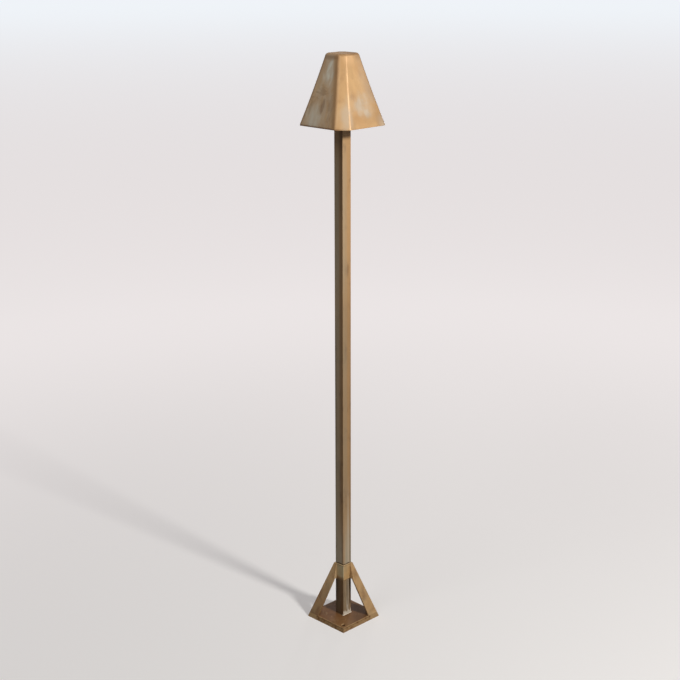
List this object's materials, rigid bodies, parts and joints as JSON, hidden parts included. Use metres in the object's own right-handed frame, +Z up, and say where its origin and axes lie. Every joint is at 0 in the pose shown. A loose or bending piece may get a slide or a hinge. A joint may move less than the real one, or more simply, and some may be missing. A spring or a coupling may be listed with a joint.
{
  "type": "path light",
  "caption": "Garden path light: a faceted hollow shade over a plug-in lamp on a tall square stem, with an open pyramid base to bolt down.",
  "frame": {"origin": "on the ground under the middle of the stem", "axes": "+Z up along the stem, X through the two legs of the base, Y through its two anchor holes"},
  "size_m": [0.1416, 0.1416, 1.027],
  "materials": {
    "plate_bronze": "aged, satin",
    "leg_bronze": "aged, satin",
    "collar_bronze": "aged, satin",
    "stem_bronze": "aged, satin",
    "shade_bronze": "aged, satin, with darker patches",
    "braze": "pale, bare",
    "inner_brass": "machined",
    "thumb_brass": "machined",
    "screw_steel": "bright",
    "yoke_steel": "satin",
    "pin_steel": "bright",
    "clear_glass": "clear",
    "frosted_glass": "frosted",
    "white_ceramic": "matt",
    "black_rubber": "matt",
    "lead_insulation": "matt",
    "splice_plastic": "matt"
  },
  "bodies": {
    "base": {"base_plate": "plate_bronze", "base_leg_left": "leg_bronze", "base_leg_right": "leg_bronze", "base_collar": "collar_bronze", "foot_ring": "braze", "foot_spigot": "inner_brass", "foot_screws": "screw_steel", "cable_bush": "black_rubber", "stem": "stem_bronze", "stem_head": "inner_brass", "glass_gasket": "black_rubber", "lamp_holder": "white_ceramic", "lamp_holder_screws": "screw_steel", "yoke": "yoke_steel", "yoke_screws": "screw_steel", "lead_wire_left": "lead_insulation", "lead_wire_right": "lead_insulation", "wire_splices": "splice_plastic"},
    "glass": {"lamp_glass": "clear_glass"},
    "lamp": {"lamp_base": "white_ceramic", "lamp_capsule": "frosted_glass", "lamp_pins": "pin_steel"},
    "shade": {"shade": "shade_bronze"},
    "washer": {"screw_washer": "thumb_brass"},
    "thumb_screw": {"shade_screw": "thumb_brass"}
  },
  "joints": [
    {"name": "shade_lift", "type": "slide", "parent": "base", "child": "shade", "axis": [0, 0, 1], "range_m": [0, 0.14]},
    {"name": "glass_lift", "type": "slide", "parent": "base", "child": "glass", "axis": [0, 0, 1], "range_m": [0, 0.009]},
    {"name": "lamp_pull", "type": "slide", "parent": "base", "child": "lamp", "axis": [0, 0, 1], "range_m": [0, 0.008]},
    {"name": "screw_travel", "type": "slide", "parent": "base", "child": "washer", "axis": [0, 0, -1], "range_m": [0, 0.0089]},
    {"name": "screw_turn", "type": "hinge", "parent": "washer", "child": "thumb_screw", "pos_m": [0, 0, 1.005], "axis": [0, 0, -1], "range_deg": [0, 2520]}
  ],
  "couplings": [
    {"joint": "screw_travel", "follows": "screw_turn", "m_per_rad": 0.00020213}
  ]
}
